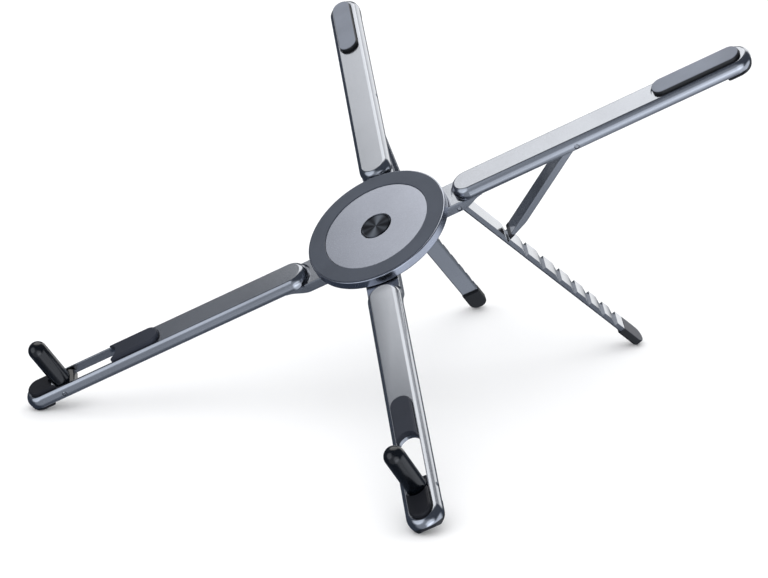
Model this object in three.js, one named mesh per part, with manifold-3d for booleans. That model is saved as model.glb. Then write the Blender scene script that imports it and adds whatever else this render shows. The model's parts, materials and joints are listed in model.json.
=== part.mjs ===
// Folding laptop stand: two scissor bars crossing under a round platform, with fold-away stop pegs
// at the two front tips and a toothed leg with a locking strut under each rear arm.
// Millimetres, +Z up, the front of the stand facing -Y, the stand resting on z = 0.

import * as THREE from "three";
import { mergeVertices } from "three/addons/utils/BufferGeometryUtils.js";
import Module from "manifold-3d";

const wasm = await Module();
wasm.setup();

// ---- Driving dimensions -------------------------------------------------------------------------
// The platform frame has its origin on the pivot axis, level with the flat tops of the arms.
// Heights below are along the platform's normal, and reaches are along an arm from the pivot axis.

const degrees = Math.PI / 180;
const TILT = 33.64 * degrees; // the platform against the table, with the struts in their first notches
const HALF_CROSSING = 45 * degrees; // each arm against the stand's left-right line
const ARM_OFFSET = 2.7; // each arm's centre line, to one side of the pivot axis
const GAP = 0.3; // between pieces that rest on each other
const RUNNING_GAP = 0.08; // radial, between a pin and its hole
const SIDE_GAP = 0.25; // beside a piece that swings between two walls

const ARM = {
  halfWidth: 5.8,
  depth: 4.25,
  innerEnd: 33.55, // centre of the arm's rounded inner end
  frontEnd: 131.2, // centre of a front arm's rounded tip
  rearEnd: 129.7, // centre of a rear arm's rounded tip
  edgeInset: 1.8, // the rounded top edge, across the arm
  edgeDrop: 2.0, // and down its side
  lowerChamfer: 0.7,
};

// The channel under each kind of arm: the strut folds into a rear one, and the peg slot opens into a front one.
const CHANNEL_START = 40;
const FRONT_CHANNEL = { end: 127.6, halfWidth: 4.7, roof: 1.8 };
const REAR_CHANNEL = { end: 120.5, halfWidth: 3.6, roof: 1.3 };

const NECK = { top: -3.2, bottom: -7.0, taperStart: 29, taperEnd: 37, slotStart: 26.1, slotRoof: -4.0 };
const HUB = { radius: 16, lapRadius: 22.5, plate: 1.5, spindleRadius: 3.3 };
const DISC = { radius: 25.4, top: 0.3, bottom: -2.9, chamfer: 0.35, bossRadius: 5.6, bossDepth: 2.0 };
const RING = { inner: 19.0, outer: 24.9, top: 0.6, recess: 0.8 };
const CAP = { radius: 5.3, top: 0.45, thickness: 0.7 };
const SPINDLE = { radius: 3.1, headRadius: 4.7, headThickness: 0.8, end: -10.8 };
const SPACER = { radius: 12, thickness: 0.3 };
const SPRING_WASHER = { radius: 6.5, thickness: 0.5, cone: 0.4 };
const NUT = { acrossFlats: 10, thickness: 2.0 };

const PAD = { halfWidth: 3.5, top: 1.5, recess: 0.5, edge: 0.7, sideGap: 0.15 };
const REAR_PAD = { start: 105.3, end: 129.0, innerGap: 0.5 };
const LONG_PAD = { start: 87.2 };
const SLOT = { start: 103.6, end: 122.9, halfWidth: 3.6 };

const PEG = { reach: 122.3, pinHeight: -2.3, radius: 3.3, height: 18.3, foot: 1.8 };
const PIN = { radius: 0.8, halfLength: 5.65 };
const FOOT = {
  start: 127.2,
  heel: 128.6,
  toe: 133, // where the flat sole begins to turn up
  sole: -5.7,
  toeRadius: 4,
  toeTurn: 65 * degrees,
  seatStart: 133.2, // the tip's underside slopes up from here
  seatSlope: 0.52,
  inset: 0.15,
  sideBevel: 1.0,
};
const FOOT_STEM = { radius: 1.5, reach: 130, height: 1.6 };

const LEG = {
  hingeReach: 27.9,
  hingeHeight: -5.7,
  angle: 72.7 * degrees, // below the rear arm
  halfWidth: 3.2,
  inner: 1.35, // face with the teeth, from the hinge line
  outer: 0.85,
  notches: 8,
  firstWall: 25,
  firstPitch: 9.4,
  pitchStep: -0.4, // each tooth is this much longer than the one before it
  notchDepth: 1.25,
  ramp: 3.5,
};
const BOOT = { start: 86.3, inner: 1.45, outer: 1.6, halfWidth: 3.35, round: 0.8, tenonHalfWidth: 2.1 };
const STRUT = {
  hingeReach: 72.2,
  hingeHeight: -2.8,
  halfWidth: 3.2,
  half: 1.25, // half its thickness
  seat: 1.35, // the tip's corner above the notch floor
  taper: 8.5, // its outer side tapers over this length, down to the tip's end
  endThickness: 1.1,
  tipLength: 2.3,
  tipBevel: 0.8,
};

const RIM_ROUND = 56; // sides of the platform's rims
const ROUND = 32; // sides of the other round pieces
const SMALL_ROUND = 16; // sides of the pins and their holes

// ---- Materials ----------------------------------------------------------------------------------

const finish = (color, roughness, metalness) => new THREE.MeshStandardMaterial({ color, roughness, metalness });
const aluminium = finish(0x8e929d, 0.35, 1);
const discAluminium = finish(0xb4b6c0, 0.4, 1);
const spunCap = finish(0x5c5f66, 0.3, 1);
const steel = finish(0x9a9ca0, 0.3, 1);
const silicone = finish(0x4a4d57, 0.75, 0);
const paleSilicone = finish(0x9a9ca5, 0.7, 0);
const blackPlastic = finish(0x1c1d22, 0.4, 0);
const rubber = finish(0x1a1b1f, 0.85, 0);
const nylon = finish(0xd8d6cc, 0.6, 0);

// ---- Shape helpers ------------------------------------------------------------------------------

function toSolid(geometry) {
  const bare = geometry.clone();
  bare.deleteAttribute("normal");
  bare.deleteAttribute("uv");
  const merged = mergeVertices(bare, 1e-4);
  const mesh = new wasm.Mesh({
    numProp: 3,
    vertProperties: new Float32Array(merged.attributes.position.array),
    triVerts: new Uint32Array(merged.index.array),
  });
  return new wasm.Manifold(mesh);
}

function toGeometry(solid) {
  const { vertProperties, triVerts } = solid.getMesh();
  const geometry = new THREE.BufferGeometry();
  geometry.setAttribute("position", new THREE.BufferAttribute(vertProperties, 3));
  geometry.setIndex(new THREE.BufferAttribute(triVerts, 1));
  return geometry;
}

function join(...pieces) {
  return toGeometry(pieces.map(toSolid).reduce((sum, piece) => sum.add(piece)));
}

function cut(body, ...tools) {
  return toGeometry(tools.map(toSolid).reduce((left, tool) => left.subtract(tool), toSolid(body)));
}

function common(a, b) {
  return toGeometry(toSolid(a).intersect(toSolid(b)));
}

function block(x0, x1, halfWidth, z0, z1) {
  const geometry = new THREE.BoxGeometry(x1 - x0, 2 * halfWidth, z1 - z0);
  return geometry.translate((x0 + x1) / 2, 0, (z0 + z1) / 2);
}

// An upright cylinder from height z0 to z1.
function drum(radius, z0, z1, sides = ROUND) {
  const geometry = new THREE.CylinderGeometry(radius, radius, z1 - z0, sides);
  return geometry.rotateX(Math.PI / 2).translate(0, 0, (z0 + z1) / 2);
}

// A cylinder lying across an arm, centred on reach x and height z.
function crossCylinder(radius, x, z, halfLength, sides = SMALL_ROUND) {
  return new THREE.CylinderGeometry(radius, radius, 2 * halfLength, sides).translate(x, 0, z);
}

// A side profile, drawn in reach and height, given a width across the arm.
function plank(shape, halfWidth) {
  const geometry = new THREE.ExtrudeGeometry(shape, { depth: 2 * halfWidth, bevelEnabled: false, curveSegments: 8 });
  return geometry.rotateX(Math.PI / 2).translate(0, halfWidth, 0);
}

// An outline with a round end about x1 and, unless flatStart is set, about x0.
function lozenge(x0, x1, radius, steps, flatStart = false) {
  const points = [];
  const arc = (centre, from) => {
    for (let i = 0; i <= steps; i += 1) {
      const angle = from + (Math.PI * i) / steps;
      points.push(new THREE.Vector2(centre + radius * Math.cos(angle), radius * Math.sin(angle)));
    }
  };
  arc(x1, -Math.PI / 2);
  if (flatStart) {
    points.push(new THREE.Vector2(x0, radius), new THREE.Vector2(x0, -radius));
  } else {
    arc(x0, Math.PI / 2);
  }
  return points;
}

// A closed solid through convex outlines with the same number of points, from the lowest up.
function loft(levels) {
  const count = levels[0].outline.length;
  const positions = [];
  const index = [];
  for (const { outline, height } of levels) {
    for (const point of outline) positions.push(point.x, point.y, height);
  }
  for (let level = 0; level + 1 < levels.length; level += 1) {
    for (let i = 0; i < count; i += 1) {
      const a = level * count + i;
      const b = level * count + ((i + 1) % count);
      index.push(a, b, b + count, a, b + count, a + count);
    }
  }
  const top = (levels.length - 1) * count;
  for (let i = 1; i + 1 < count; i += 1) {
    index.push(0, i + 1, i);
    index.push(top, top + i, top + i + 1);
  }
  const geometry = new THREE.BufferGeometry();
  geometry.setAttribute("position", new THREE.BufferAttribute(new Float32Array(positions), 3));
  return geometry.setIndex(index);
}

// Levels of a lozenge whose upper edge is rounded by inset across and drop down.
function roundedTopLevels(outlineAt, bottom, chamfer, top, inset, drop, steps) {
  const levels = [
    { outline: outlineAt(chamfer), height: bottom },
    { outline: outlineAt(0), height: bottom + chamfer },
  ];
  for (let i = 0; i <= steps; i += 1) {
    const angle = (Math.PI / 2) * (i / steps);
    levels.push({
      outline: outlineAt(inset * (1 - Math.cos(angle))),
      height: top - drop * (1 - Math.sin(angle)),
    });
  }
  return levels;
}

function lowest(geometry, heightOf) {
  const position = geometry.getAttribute("position");
  const heights = Array.from({ length: position.count }, (_, i) =>
    heightOf(position.getX(i), position.getY(i), position.getZ(i)),
  );
  return Math.min(...heights);
}

function pinHole(reach, height) {
  return crossCylinder(PIN.radius + RUNNING_GAP, reach, height, 2 * ARM.halfWidth);
}

// ---- Bars ---------------------------------------------------------------------------------------

const armEnd = (isFront) => (isFront ? ARM.frontEnd : ARM.rearEnd);

const frontTip = ARM.frontEnd + ARM.halfWidth;

function armBody(isFront) {
  const outlineAt = (inset) => lozenge(ARM.innerEnd, armEnd(isFront), ARM.halfWidth - inset, 12);
  return loft(roundedTopLevels(outlineAt, -ARM.depth, ARM.lowerChamfer, 0, ARM.edgeInset, ARM.edgeDrop, 5));
}

// The flat, deeper root of an arm, which runs from the hub and fades into the arm's underside.
function neckBody() {
  const shape = new THREE.Shape();
  const middle = (NECK.taperStart + NECK.taperEnd) / 2;
  shape.moveTo(0, NECK.top);
  shape.lineTo(0, NECK.bottom);
  shape.lineTo(NECK.taperStart, NECK.bottom);
  shape.bezierCurveTo(middle, NECK.bottom, middle, -ARM.depth, NECK.taperEnd, -ARM.depth);
  shape.lineTo(NECK.taperEnd, NECK.top);
  return plank(shape, ARM.halfWidth);
}

// The metal tip's underside, which slopes up towards the end to seat the rubber foot.
function seatHeight(reach) {
  return -ARM.depth + (reach - FOOT.seatStart) * FOOT.seatSlope;
}

function footSeat() {
  const beyond = frontTip + 1;
  const shape = new THREE.Shape();
  shape.moveTo(FOOT.seatStart, seatHeight(FOOT.seatStart));
  shape.lineTo(FOOT.seatStart, -2 * ARM.depth);
  shape.lineTo(beyond, -2 * ARM.depth);
  shape.lineTo(beyond, seatHeight(beyond));
  return plank(shape, 2 * ARM.halfWidth);
}

function padRecess(x0, x1) {
  const outline = lozenge(x0, x1, PAD.halfWidth + PAD.sideGap, 10);
  return loft([
    { outline, height: -PAD.recess },
    { outline, height: 1 },
  ]);
}

function channel({ end, halfWidth, roof }) {
  const outline = lozenge(CHANNEL_START + halfWidth, end - halfWidth, halfWidth, 8);
  return loft([
    { outline, height: -2 * ARM.depth },
    { outline, height: -roof },
  ]);
}

function pegSlot() {
  const outline = lozenge(SLOT.start, SLOT.end, SLOT.halfWidth, 10);
  return loft([
    { outline, height: -2 * ARM.depth },
    { outline, height: 1 },
  ]);
}

function frontArmCuts() {
  return [
    channel(FRONT_CHANNEL),
    pegSlot(),
    padRecess(LONG_PAD.start, SLOT.start),
    padRecess(SLOT.end, ARM.frontEnd),
    pinHole(PEG.reach, PEG.pinHeight),
  ];
}

// The slot under a rear neck, where the leg's hinge end swings between two cheeks.
function legSlot() {
  return block(NECK.slotStart, CHANNEL_START + 1, LEG.halfWidth + SIDE_GAP, 2 * NECK.bottom, NECK.slotRoof);
}

function rearArmCuts() {
  return [
    channel(REAR_CHANNEL),
    legSlot(),
    padRecess(REAR_PAD.start - REAR_PAD.innerGap, REAR_PAD.end),
    pinHole(LEG.hingeReach, LEG.hingeHeight),
    pinHole(STRUT.hingeReach, STRUT.hingeHeight),
  ];
}

// One arm with its neck, in its own frame: reach along x, the pivot axis ARM_OFFSET to one side.
function armWithNeck(isFront, side) {
  const shift = armEnd(isFront) - ARM.frontEnd;
  const stemHole = drum(FOOT_STEM.radius + GAP, -2 * ARM.depth, -ARM.depth + FOOT_STEM.height + GAP, SMALL_ROUND);
  const body = cut(
    join(armBody(isFront), neckBody()),
    ...(isFront ? frontArmCuts() : rearArmCuts()),
    footSeat().translate(shift, 0, 0),
    stemHole.translate(FOOT_STEM.reach + shift, 0, 0),
  );
  return body.translate(0, side * ARM_OFFSET, 0);
}

// The upper bar (side 1) has its hub plate at the top of the necks, the lower bar at their bottom.
function barBody(side) {
  const front = armWithNeck(true, side).rotateZ(Math.PI);
  const rear = armWithNeck(false, side);
  const arms = join(front, rear);
  const plateTop = side > 0 ? NECK.top : NECK.bottom + HUB.plate;
  const relief = side > 0 ? [NECK.bottom - 1, NECK.top - HUB.plate] : [plateTop, NECK.top + 1];
  const lapped = cut(arms, drum(HUB.lapRadius, relief[0], relief[1], RIM_ROUND));
  const plate = drum(HUB.radius, plateTop - HUB.plate, plateTop);
  return cut(join(lapped, plate), drum(HUB.spindleRadius, 2 * NECK.bottom, 0));
}

// ---- Platform and pivot -------------------------------------------------------------------------

const lathePoints = (pairs) => pairs.map(([radius, height]) => new THREE.Vector2(radius, height));

// A turned piece from a closed profile of radius and height, anticlockwise.
function turned(pairs, sides = ROUND) {
  return new THREE.LatheGeometry(lathePoints([...pairs, pairs[0]]), sides).rotateX(Math.PI / 2);
}

function discBody() {
  const hole = HUB.spindleRadius;
  const recessFloor = DISC.top - RING.recess;
  const shoulder = DISC.top - DISC.bossDepth;
  return turned(
    [
      [hole, DISC.bottom],
      [DISC.radius - DISC.chamfer, DISC.bottom],
      [DISC.radius, DISC.bottom + DISC.chamfer],
      [DISC.radius, DISC.top - DISC.chamfer],
      [DISC.radius - DISC.chamfer, DISC.top],
      [RING.outer + 0.1, DISC.top],
      [RING.outer + 0.1, recessFloor],
      [RING.inner - 0.1, recessFloor],
      [RING.inner - 0.1, DISC.top],
      [DISC.bossRadius, DISC.top],
      [DISC.bossRadius, shoulder],
      [hole, shoulder],
    ],
    RIM_ROUND,
  );
}

function ringPad() {
  const bottom = DISC.top - RING.recess + GAP;
  const edge = 0.2;
  return turned(
    [
      [RING.inner, bottom],
      [RING.outer, bottom],
      [RING.outer, RING.top - edge],
      [RING.outer - edge, RING.top],
      [RING.inner + edge, RING.top],
      [RING.inner, RING.top - edge],
    ],
    RIM_ROUND,
  );
}

function pivotCap() {
  const bottom = CAP.top - CAP.thickness;
  const dish = 0.15;
  return turned([
    [0, bottom],
    [CAP.radius, bottom],
    [CAP.radius, CAP.top - dish],
    [CAP.radius - dish, CAP.top],
    [0, CAP.top - dish],
  ]);
}

function pivotSpindle() {
  const headTop = CAP.top - CAP.thickness - GAP;
  const headBottom = headTop - SPINDLE.headThickness;
  return turned([
    [0, SPINDLE.end],
    [SPINDLE.radius - 0.3, SPINDLE.end],
    [SPINDLE.radius, SPINDLE.end + 0.3],
    [SPINDLE.radius, headBottom],
    [SPINDLE.headRadius, headBottom],
    [SPINDLE.headRadius, headTop],
    [0, headTop],
  ]);
}

const plateGapMiddle = (NECK.top + NECK.bottom) / 2;

function pivotSpacer() {
  const half = SPACER.thickness / 2;
  return turned([
    [HUB.spindleRadius, plateGapMiddle - half],
    [SPACER.radius, plateGapMiddle - half],
    [SPACER.radius, plateGapMiddle + half],
    [HUB.spindleRadius, plateGapMiddle + half],
  ]);
}

const springTop = NECK.bottom - GAP;
const nutTop = springTop - SPRING_WASHER.thickness - SPRING_WASHER.cone - GAP;

// A coned spring washer, its rim against the lower bar.
function springWasher() {
  const { radius, thickness, cone } = SPRING_WASHER;
  return turned([
    [HUB.spindleRadius, springTop - cone - thickness],
    [radius, springTop - thickness],
    [radius, springTop],
    [HUB.spindleRadius, springTop - cone],
  ]);
}

function pivotNut() {
  const hexagon = drum(NUT.acrossFlats / Math.sqrt(3), nutTop - NUT.thickness, nutTop, 6);
  return cut(hexagon, drum(HUB.spindleRadius, 2 * nutTop, 0));
}

// ---- Pads, feet and pegs ------------------------------------------------------------------------

function padLevels(outlineAt) {
  return roundedTopLevels(outlineAt, -PAD.recess + GAP, 0.05, PAD.top, PAD.edge, PAD.edge, 3);
}

function rearPad() {
  return loft(padLevels((inset) => lozenge(REAR_PAD.start, REAR_PAD.end, PAD.halfWidth - inset, 10)));
}

// The two pads of a front arm end in a hollow that follows the round end of the peg slot.
function frontPad(x0, x1) {
  const whole = loft(padLevels((inset) => lozenge(x0, x1, PAD.halfWidth - inset, 10)));
  const clearance = lozenge(SLOT.start, SLOT.end, SLOT.halfWidth + PAD.sideGap, 10);
  const hollow = loft([
    { outline: clearance, height: -1 },
    { outline: clearance, height: 2 },
  ]);
  return cut(whole, hollow);
}

// A rubber foot: its flat sole turns up under the tip, and a short stem fixes it in the arm.
function footBody() {
  const top = -ARM.depth - GAP;
  const turnEnd = FOOT.toe + FOOT.toeRadius * Math.sin(FOOT.toeTurn);
  const shape = new THREE.Shape();
  shape.moveTo(FOOT.start, top);
  shape.quadraticCurveTo(FOOT.start, FOOT.sole, FOOT.heel, FOOT.sole);
  shape.lineTo(FOOT.toe, FOOT.sole);
  const turnStart = -Math.PI / 2;
  shape.absarc(FOOT.toe, FOOT.sole + FOOT.toeRadius, FOOT.toeRadius, turnStart, turnStart + FOOT.toeTurn, false);
  shape.lineTo(turnEnd, seatHeight(turnEnd) - GAP);
  shape.lineTo(FOOT.seatStart, top);
  const outlineAt = (inset) => lozenge(FOOT.start - 10, ARM.frontEnd, ARM.halfWidth - FOOT.inset - inset, 12);
  const plan = loft([
    { outline: outlineAt(FOOT.sideBevel), height: FOOT.sole - 0.01 },
    { outline: outlineAt(0), height: FOOT.sole + FOOT.sideBevel },
    { outline: outlineAt(0), height: 0 },
  ]);
  const sole = common(plank(shape, ARM.halfWidth), plan);
  const stem = drum(FOOT_STEM.radius, top - 0.4, -ARM.depth + FOOT_STEM.height, SMALL_ROUND);
  return join(sole, stem.translate(FOOT_STEM.reach, 0, 0));
}

// A straight round peg with a domed top. Its lower end turns in the slot on a cross pin.
function pegBody() {
  const { radius, height, foot } = PEG;
  const length = height - PEG.pinHeight;
  const profile = lathePoints([
    [0, -foot],
    [radius - 0.3, -foot],
    [radius, 0.3 - foot],
  ]);
  const domeSteps = 7;
  for (let i = 0; i <= domeSteps; i += 1) {
    const angle = (Math.PI / 2) * (i / domeSteps);
    profile.push(new THREE.Vector2(radius * Math.cos(angle), length - radius + radius * Math.sin(angle)));
  }
  profile[profile.length - 1].x = 0;
  const peg = new THREE.LatheGeometry(profile, 24).rotateX(Math.PI / 2);
  return cut(peg, crossCylinder(PIN.radius + RUNNING_GAP, 0, 0, 2 * radius));
}

function crossPin() {
  return crossCylinder(PIN.radius, 0, 0, PIN.halfLength);
}

// ---- Legs and struts ----------------------------------------------------------------------------
// A leg and a strut each lie along their own x axis from their hinge, z towards a leg's teeth.

const notchWalls = Array.from(
  { length: LEG.notches },
  (_, i) => LEG.firstWall + i * LEG.firstPitch + (LEG.pitchStep * i * (i - 1)) / 2,
);

const tenonStart = BOOT.start + 0.2;

// A point's height above the pivot in the tilted stand, for a reach along a rear arm, a distance
// across it towards the rear, and a height over the arm.
function standHeight(reach, across, height) {
  const rearward = reach * Math.sin(HALF_CROSSING) + across * Math.cos(HALF_CROSSING);
  return rearward * Math.sin(TILT) + height * Math.cos(TILT);
}

// The front feet set the table's height, and each leg is as long as it takes for its boot to stand
// on the same table. A front arm's centre line is offset towards the front.
const footGeometry = footBody();
const tableHeight = lowest(footGeometry, (x, y, z) => standHeight(-x, -y - ARM_OFFSET, z));
const hingeAboveTable = standHeight(LEG.hingeReach, ARM_OFFSET, LEG.hingeHeight) - tableHeight;
const perLength = standHeight(Math.cos(LEG.angle), 0, -Math.sin(LEG.angle));
const perWidth = standHeight(0, 1, 0);
const perDepth = standHeight(Math.sin(LEG.angle), 0, Math.cos(LEG.angle));
const bootEdgeDrop =
  (BOOT.outer - BOOT.round) * perDepth + (BOOT.halfWidth - BOOT.round) * Math.hypot(perLength, perWidth) + BOOT.round;
const legLength = BOOT.halfWidth + (hingeAboveTable - bootEdgeDrop) / -perLength;

function knuckle(radius, halfWidth) {
  return crossCylinder(radius, 0, 0, halfWidth, 20);
}

function legBody() {
  const shape = new THREE.Shape();
  shape.moveTo(0, -LEG.outer);
  shape.lineTo(tenonStart, -LEG.outer);
  shape.lineTo(tenonStart, LEG.inner);
  for (const wall of [...notchWalls].reverse()) {
    shape.lineTo(wall, LEG.inner);
    shape.lineTo(wall, LEG.inner - LEG.notchDepth);
    shape.lineTo(wall - LEG.ramp, LEG.inner);
  }
  shape.lineTo(0, LEG.inner);
  const tenon = block(tenonStart - 1, legLength - 5, BOOT.tenonHalfWidth, -0.7, 0.7);
  const bar = join(plank(shape, LEG.halfWidth), knuckle(LEG.inner, LEG.halfWidth), tenon);
  return cut(bar, crossCylinder(PIN.radius + RUNNING_GAP, 0, 0, 2 * LEG.halfWidth));
}

function bootBody() {
  const roundSteps = 3;
  const outlineAt = (inset) =>
    lozenge(BOOT.start, legLength - BOOT.halfWidth, BOOT.halfWidth - inset, 12, true);
  const levels = [];
  for (let i = 0; i <= roundSteps; i += 1) {
    const angle = (Math.PI / 2) * (i / roundSteps);
    levels.push({
      outline: outlineAt(BOOT.round * (1 - Math.sin(angle))),
      height: -BOOT.outer + BOOT.round * (1 - Math.cos(angle)),
    });
  }
  levels.push({ outline: outlineAt(0), height: BOOT.inner - 0.3 });
  levels.push({ outline: outlineAt(0.3), height: BOOT.inner });
  const socket = block(BOOT.start - 1, legLength - 5 + GAP, BOOT.tenonHalfWidth + GAP, -0.7 - GAP, 0.7 + GAP);
  const mouth = block(BOOT.start - 1, tenonStart + GAP, 2 * BOOT.halfWidth, -2 * BOOT.outer, 2 * BOOT.inner);
  return cut(loft(levels), socket, mouth);
}

// Where the strut's tip bears, in the arm's frame: at the foot of the first notch's wall.
const tipAlong = LEG.firstWall - 0.1;
const tipAbove = LEG.inner - LEG.notchDepth + STRUT.seat;
const tipReach = LEG.hingeReach + tipAlong * Math.cos(LEG.angle) + tipAbove * Math.sin(LEG.angle);
const tipHeight = LEG.hingeHeight - tipAlong * Math.sin(LEG.angle) + tipAbove * Math.cos(LEG.angle);
const endCorner = STRUT.endThickness - STRUT.half; // height of the bearing corner over the strut's centre line
const pinToTip = Math.hypot(tipReach - STRUT.hingeReach, tipHeight - STRUT.hingeHeight);
const strutLength = Math.sqrt(pinToTip ** 2 - endCorner ** 2);
const strutAngle =
  Math.atan2(STRUT.hingeHeight - tipHeight, tipReach - STRUT.hingeReach) - Math.atan2(-endCorner, strutLength);

// Height of the strut's tapering outer side at a distance from its end.
function taperHeight(fromEnd) {
  return endCorner + ((STRUT.half - endCorner) * fromEnd) / STRUT.taper;
}

function strutBody() {
  const end = strutLength - STRUT.tipLength;
  const shape = new THREE.Shape();
  shape.moveTo(0, -STRUT.half);
  shape.lineTo(end, -STRUT.half);
  shape.lineTo(end, taperHeight(STRUT.tipLength));
  shape.lineTo(strutLength - STRUT.taper, STRUT.half);
  shape.lineTo(0, STRUT.half);
  const bar = join(plank(shape, STRUT.halfWidth), knuckle(STRUT.half, STRUT.halfWidth));
  return cut(bar, crossCylinder(PIN.radius + RUNNING_GAP, 0, 0, 2 * STRUT.halfWidth));
}

// The black tip carries on the strut's taper, with its inner edge bevelled.
function strutTip() {
  const fromEnd = STRUT.tipLength - GAP;
  const shape = new THREE.Shape();
  shape.moveTo(strutLength - fromEnd, -STRUT.half);
  shape.lineTo(strutLength - STRUT.tipBevel, -STRUT.half);
  shape.lineTo(strutLength, endCorner);
  shape.lineTo(strutLength - fromEnd, taperHeight(fromEnd));
  return plank(shape, STRUT.halfWidth);
}

// ---- Assembly -----------------------------------------------------------------------------------

function place(parent, name, geometry, material) {
  const mesh = new THREE.Mesh(geometry, material);
  mesh.name = name;
  parent.add(mesh);
  return mesh;
}

function group(parent, { x = 0, y = 0, z = 0, turnX = 0, turnY = 0, turnZ = 0 } = {}) {
  const made = new THREE.Group();
  made.position.set(x, y, z);
  made.rotation.set(turnX, turnY, turnZ);
  parent.add(made);
  return made;
}

function addPlatform(parent) {
  place(parent, "platform_disc", discBody(), discAluminium);
  place(parent, "platform_ring_pad", ringPad(), silicone);
  place(parent, "pivot_cap", pivotCap(), spunCap);
  place(parent, "pivot_spindle", pivotSpindle(), steel);
  place(parent, "pivot_spacer", pivotSpacer(), nylon);
  place(parent, "pivot_spring_washer", springWasher(), steel);
  place(parent, "pivot_nut", pivotNut(), steel);
}

function addFoot(arm, isFront, corner) {
  const seat = group(arm, { x: isFront ? 0 : ARM.rearEnd - ARM.frontEnd });
  place(seat, `foot_${corner}`, footGeometry, rubber);
}

function addFrontArm(bar, side, hand) {
  const arm = group(group(bar, { turnZ: Math.PI }), { y: side * ARM_OFFSET });
  addFoot(arm, true, `front_${hand}`);
  place(arm, `long_pad_${hand}`, frontPad(LONG_PAD.start, SLOT.start), silicone);
  place(arm, `tip_pad_${hand}`, frontPad(SLOT.end, ARM.frontEnd), silicone);
  const hinge = group(arm, { x: PEG.reach, z: PEG.pinHeight });
  place(hinge, `peg_${hand}`, pegBody(), blackPlastic);
  place(hinge, `peg_pin_${hand}`, crossPin(), steel);
}

function addRearArm(bar, side, hand) {
  const arm = group(bar, { y: side * ARM_OFFSET });
  addFoot(arm, false, `rear_${hand}`);
  place(arm, `rear_pad_${hand}`, rearPad(), paleSilicone);
  const legHinge = group(arm, { x: LEG.hingeReach, z: LEG.hingeHeight, turnY: LEG.angle });
  place(legHinge, `leg_${hand}`, legBody(), aluminium);
  place(legHinge, `leg_boot_${hand}`, bootBody(), rubber);
  place(legHinge, `leg_pin_${hand}`, crossPin(), steel);
  const strutHinge = group(arm, { x: STRUT.hingeReach, z: STRUT.hingeHeight, turnY: strutAngle });
  place(strutHinge, `strut_${hand}`, strutBody(), aluminium);
  place(strutHinge, `strut_tip_${hand}`, strutTip(), blackPlastic);
  place(strutHinge, `strut_pin_${hand}`, crossPin(), steel);
}

const stand = new THREE.Group();
const platform = group(stand, { turnX: TILT });
addPlatform(platform);

const upperBar = group(platform, { turnZ: HALF_CROSSING });
place(upperBar, "upper_bar", barBody(1), aluminium);
addFrontArm(upperBar, 1, "left");
addRearArm(upperBar, 1, "right");

const lowerBar = group(platform, { turnZ: Math.PI - HALF_CROSSING });
place(lowerBar, "lower_bar", barBody(-1), aluminium);
addFrontArm(lowerBar, -1, "right");
addRearArm(lowerBar, -1, "left");

// The origin is on the table, under the middle of the stand.
platform.position.z = -tableHeight;
const box = new THREE.Box3().setFromObject(stand, true);
platform.position.y = -(box.min.y + box.max.y) / 2;

export default stand;
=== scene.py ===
"""Folding laptop stand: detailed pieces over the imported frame, with a floor, studio light and camera.

Shapes are drawn in millimetres in the frame of the arm or hinge that they belong to, and placed from
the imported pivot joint. Along an arm, reaches run from the pivot axis, and heights from the arm's flat
top. Pegs, legs, struts and pins are drawn from their own hinges.
"""

import json
from math import cos, pi, radians, sin

import bmesh
import bpy
from mathutils import Matrix, Vector


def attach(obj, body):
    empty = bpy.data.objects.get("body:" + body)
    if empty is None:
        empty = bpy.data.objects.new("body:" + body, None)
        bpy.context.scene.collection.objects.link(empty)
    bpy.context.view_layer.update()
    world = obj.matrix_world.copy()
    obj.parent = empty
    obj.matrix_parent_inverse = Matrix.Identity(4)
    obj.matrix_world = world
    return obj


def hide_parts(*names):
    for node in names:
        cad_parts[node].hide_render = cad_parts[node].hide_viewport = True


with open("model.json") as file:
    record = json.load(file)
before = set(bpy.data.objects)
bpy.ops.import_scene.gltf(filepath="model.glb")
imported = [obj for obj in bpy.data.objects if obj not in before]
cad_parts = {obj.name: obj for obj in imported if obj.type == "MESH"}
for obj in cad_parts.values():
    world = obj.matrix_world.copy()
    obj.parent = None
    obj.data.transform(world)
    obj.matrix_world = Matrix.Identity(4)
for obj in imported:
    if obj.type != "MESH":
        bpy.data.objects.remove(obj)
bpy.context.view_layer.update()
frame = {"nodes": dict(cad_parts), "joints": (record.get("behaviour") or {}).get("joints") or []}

# ---- Dimensions in millimetres ------------------------------------------------------------------

MM = 0.001
GAP = 0.02  # keeps faces that would coincide apart
NEAR = 0.0001  # closer than this counts as level
CUT_REACH = 2  # how far a cutter reaches past the face that it enters
ARC_STEPS = 28  # along each half-round end

# Arms. An arm's outline has a half circle round each of its two ends.
ARM_OFFSET = 2.7  # of an arm's middle line from the pivot axis
HALF_CROSSING = radians(45)  # of the angle between the bars
HALF_WIDTH = 5.8
DEPTH = 4.25
INNER_END = 33.55
FRONT_END = 131.2
REAR_END = 129.7
LOWER_ROUND = 0.7  # of the rounding along the underside
EDGE_RADIUS = 2.9  # of the rounding along the top of an arm
EDGE_START = radians(22)  # the rounding starts at this slope, which leaves a crisp line
EDGE_STEPS = 10

# Channels under the arms: (far end, half-width, height of the roof)
CHANNEL_START = 40
FRONT_CHANNEL = (127.6, 4.7, -1.8)
REAR_CHANNEL = (120.5, 3.6, -1.3)

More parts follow.
